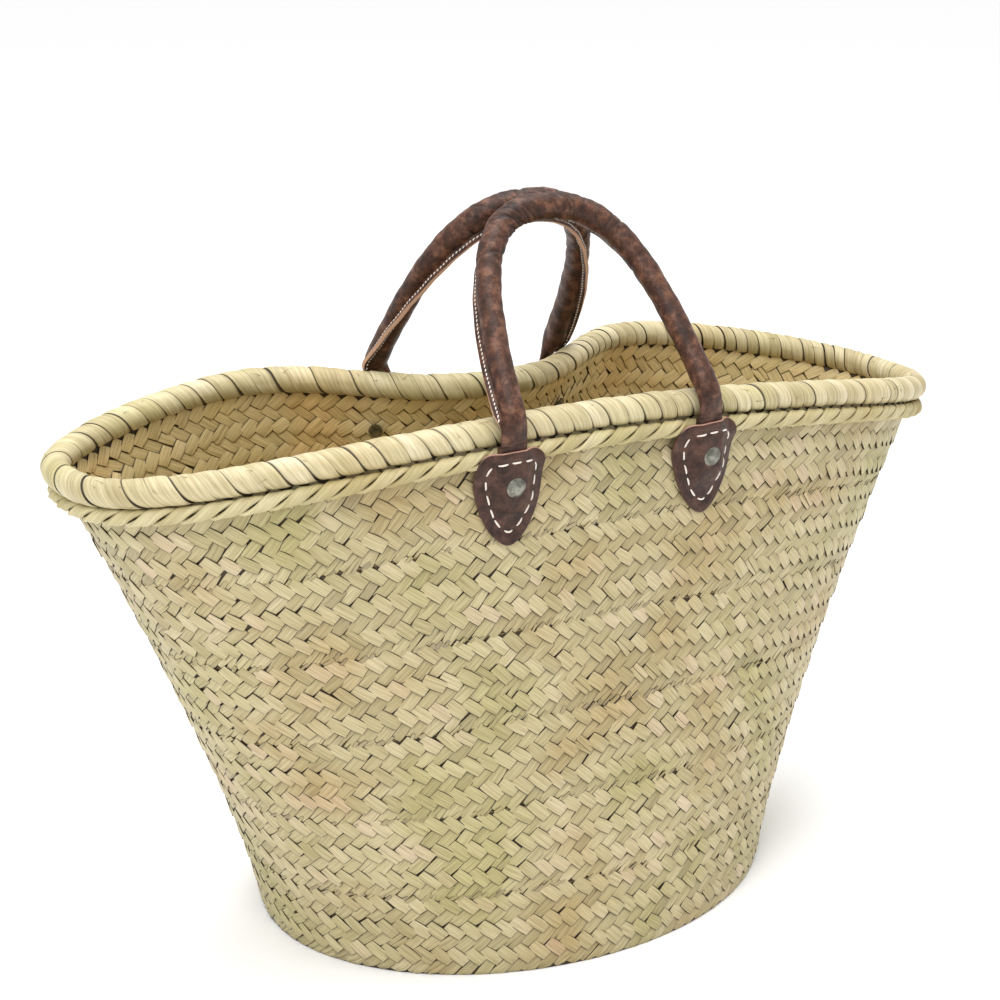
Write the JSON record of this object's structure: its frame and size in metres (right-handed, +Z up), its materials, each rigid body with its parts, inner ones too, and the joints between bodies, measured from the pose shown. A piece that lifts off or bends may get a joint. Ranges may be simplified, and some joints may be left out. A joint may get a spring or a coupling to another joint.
{
  "type": "woven market basket",
  "caption": "Oval-bottomed woven palm market basket that flares to wide pointed-oval ends, with a wrapped rim and two short rolled leather handles on riveted patches.",
  "frame": {"origin": "middle of the underside of the bottom, on the surface the basket stands on", "axes": "+X along the basket's length, to the right seen from the front; -Y towards the front; +Z up"},
  "size_m": [0.6164, 0.2814, 0.4691],
  "materials": {
    "palm_plait": "plaited dry palm leaf, low sheen",
    "palm_wrap": "smooth dry palm leaf wrap, soft sheen",
    "palm_rope": "twisted palm fibre, matte",
    "leather": "brown vegetable-tanned leather, waxed grain",
    "thread": "waxed white sewing thread",
    "rivet_metal": "nickel-plated, lightly worn"
  },
  "bodies": {
    "basket": {"bottom_round_1": "palm_plait", "bottom_round_2": "palm_plait", "bottom_round_3": "palm_plait", "wall_round_1": "palm_plait", "wall_round_2": "palm_plait", "wall_round_3": "palm_plait", "wall_round_4": "palm_plait", "wall_round_5": "palm_plait", "wall_round_6": "palm_plait", "sewing_cord": "palm_rope", "rim_core": "palm_rope", "rim_wrap": "palm_wrap", "rim_cord": "palm_wrap", "front_left_tongue": "leather", "front_right_tongue": "leather", "back_left_tongue": "leather", "back_right_tongue": "leather", "front_left_patch": "leather", "front_right_patch": "leather", "back_left_patch": "leather", "back_right_patch": "leather", "front_left_stitches": "thread", "front_right_stitches": "thread", "back_left_stitches": "thread", "back_right_stitches": "thread", "rivets": "rivet_metal", "rivet_burrs": "rivet_metal"},
    "front_handle": {"front_handle_cover": "leather", "front_handle_rope": "palm_rope", "front_handle_thread": "thread", "front_handle_necks": "leather"},
    "back_handle": {"back_handle_cover": "leather", "back_handle_rope": "palm_rope", "back_handle_thread": "thread", "back_handle_necks": "leather"}
  },
  "joints": [
    {"name": "front_handle_swing", "type": "hinge", "parent": "basket", "child": "front_handle", "pos_m": [-0.0138, -0.13762, 0.3556], "axis": [0.9998, -0.0079, -0.0176], "range_deg": [0, 159], "deforming": ["front_handle_necks"]},
    {"name": "back_handle_swing", "type": "hinge", "parent": "basket", "child": "back_handle", "pos_m": [-0.0138, 0.04236, 0.34817], "axis": [-0.9998, -0.0063, 0.02], "range_deg": [0, 144], "deforming": ["back_handle_necks"]}
  ]
}
